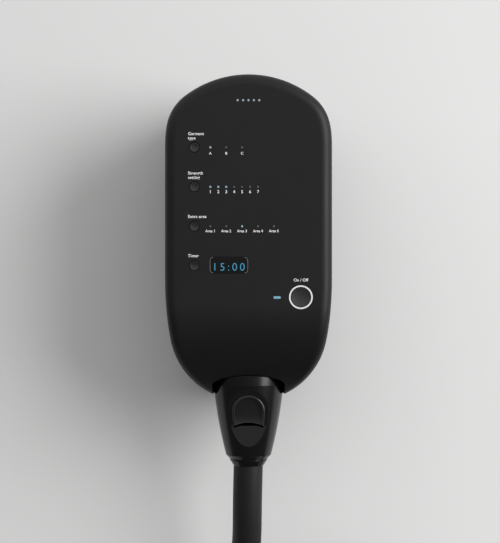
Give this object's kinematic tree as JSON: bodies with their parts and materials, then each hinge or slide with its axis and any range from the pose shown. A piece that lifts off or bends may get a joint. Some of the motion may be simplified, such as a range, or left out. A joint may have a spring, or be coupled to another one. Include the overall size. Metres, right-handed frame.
{
  "type": "compression therapy pump",
  "caption": "Portable air compression therapy pump with front keys, display, latched multi-port plug and coiled air hose.",
  "frame": {"origin": "on the table, under the middle of the pump and plug together; the pump lies on its back on its rubber feet", "axes": "+Z out of the front face, +Y from the hose end to the rounded head, +X to the right of the front face as it is read"},
  "size_m": [0.2145, 0.5346, 0.1001],
  "materials": {
    "case": "fine matt black",
    "plug_case": "fine matt black",
    "collar": "satin black",
    "hose": "matt black",
    "feet": "matt",
    "keys": "satin",
    "lamps": "translucent",
    "window": "tinted, glossy",
    "ring": "satin white",
    "board": "solder mask",
    "parts": "moulded",
    "steel": "plated",
    "cells": "sleeved",
    "moulding": "natural",
    "seal": "matt",
    "tube": "clear"
  },
  "bodies": {
    "housing": {"front_cover": "case", "rear_housing": "case", "housing_screws": "steel", "rubber_feet": "feet", "attachment_lamps": "lamps", "pressure_lamps": "lamps", "zone_lamps": "lamps", "charge_lamps": "lamps", "status_lamp": "lamps", "display_window": "window", "display_module": "parts", "start_ring": "ring", "key_board": "board", "main_board": "board", "key_switches": "parts", "board_link": "parts", "board_parts": "parts", "battery_cells": "cells", "battery_holder": "moulding", "pump_grommets": "seal", "pump_plate": "steel", "pump_motor": "steel", "pump_head": "moulding", "socket_block": "moulding", "valve_manifold": "moulding", "solenoid_valves": "steel", "air_tubes": "tube", "supply_tube": "tube", "power_switch": "parts", "charge_inlet": "parts"},
    "attachment_key": {"attachment_key": "keys"},
    "pressure_key": {"pressure_key": "keys"},
    "zone_key": {"zone_key": "keys"},
    "time_key": {"time_key": "keys"},
    "start_button": {"start_button": "keys"},
    "power_button": {"power_button": "keys"},
    "rotor": {"pump_rotor": "steel"},
    "plug": {"plug_shell": "plug_case", "plug_insert": "moulding", "plug_seals": "seal", "hose_collar": "collar", "latch_pin": "steel", "latch_spring": "steel", "hose_run": "hose", "hose_coil": "hose", "end_plug": "plug_case"},
    "latch": {"release_latch": "plug_case"}
  },
  "joints": [
    {"name": "attachment_key_press", "type": "slide", "parent": "housing", "child": "attachment_key", "axis": [0, 0, -1], "range_m": [0, 0.0006], "stiffness_N_per_m": 600},
    {"name": "pressure_key_press", "type": "slide", "parent": "housing", "child": "pressure_key", "axis": [0, 0, -1], "range_m": [0, 0.0006], "stiffness_N_per_m": 600},
    {"name": "zone_key_press", "type": "slide", "parent": "housing", "child": "zone_key", "axis": [0, 0, -1], "range_m": [0, 0.0006], "stiffness_N_per_m": 600},
    {"name": "time_key_press", "type": "slide", "parent": "housing", "child": "time_key", "axis": [0, 0, -1], "range_m": [0, 0.0006], "stiffness_N_per_m": 600},
    {"name": "start_button_press", "type": "slide", "parent": "housing", "child": "start_button", "axis": [0, 0, -1], "range_m": [0, 0.0008], "stiffness_N_per_m": 600},
    {"name": "power_button_press", "type": "slide", "parent": "housing", "child": "power_button", "axis": [-1, 0, 0], "range_m": [0, 0.0008], "stiffness_N_per_m": 600},
    {"name": "pump_rotor_spin", "type": "hinge", "parent": "housing", "child": "rotor", "pos_m": [0, 0.02728, 0.02765], "axis": [1, 0, 0], "continuous": true},
    {"name": "plug_slide", "type": "slide", "parent": "housing", "child": "plug", "axis": [0, -1, 0], "range_m": [0, 0.024]},
    {"name": "latch_press", "type": "hinge", "parent": "plug", "child": "latch", "pos_m": [0, -0.09698, 0.0725], "axis": [-1, 0, 0], "range_deg": [0, 4], "stiffness_Nm_per_rad": 0.6}
  ]
}
